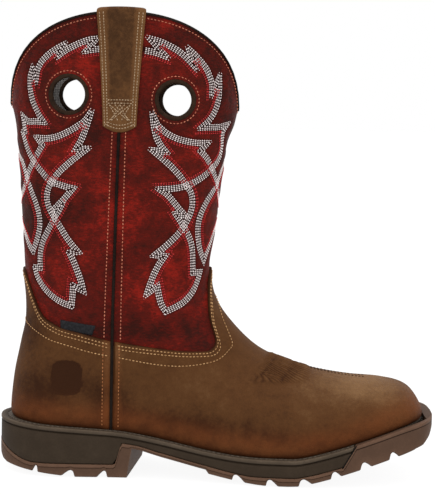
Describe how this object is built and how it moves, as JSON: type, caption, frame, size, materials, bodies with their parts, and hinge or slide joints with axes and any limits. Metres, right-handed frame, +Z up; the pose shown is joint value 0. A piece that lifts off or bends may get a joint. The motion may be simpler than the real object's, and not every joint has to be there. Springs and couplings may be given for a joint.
{
  "type": "western work boot",
  "caption": "Tall pull-on leather work boot with a square toe, a stitched shaft with pull straps and pull holes, and a lugged rubber sole.",
  "frame": {"origin": "middle of the boot's box, on the floor under the sole", "axes": "+X to the toe, +Y to the inner side of the foot, +Z up, with the boot standing on its heel and forefoot"},
  "size_m": [0.31, 0.1091, 0.328],
  "materials": {
    "outsole": "matt moulded rubber",
    "midsole": "matt dark rubber",
    "welt": "matt stitched strip",
    "insole": "matt fabric",
    "upper": "oiled leather, soft sheen",
    "vamp": "oiled leather, soft sheen",
    "counter": "oiled leather, soft sheen",
    "piping_lateral": "smooth leather",
    "piping_medial": "smooth leather",
    "collar_binding": "smooth leather",
    "hole_binding_back_lateral": "smooth leather",
    "hole_binding_back_medial": "smooth leather",
    "hole_binding_front_lateral": "smooth leather",
    "hole_binding_front_medial": "smooth leather",
    "pull_strap_lateral": "oiled leather, soft sheen",
    "pull_strap_medial": "oiled leather, soft sheen"
  },
  "bodies": {
    "root": {"outsole": "outsole", "midsole": "midsole", "welt": "welt", "insole": "insole", "upper": "upper", "vamp": "vamp", "counter": "counter", "piping_lateral": "piping_lateral", "piping_medial": "piping_medial", "collar_binding": "collar_binding", "hole_binding_back_lateral": "hole_binding_back_lateral", "hole_binding_back_medial": "hole_binding_back_medial", "hole_binding_front_lateral": "hole_binding_front_lateral", "hole_binding_front_medial": "hole_binding_front_medial", "pull_strap_lateral": "pull_strap_lateral", "pull_strap_medial": "pull_strap_medial"}
  },
  "joints": []
}
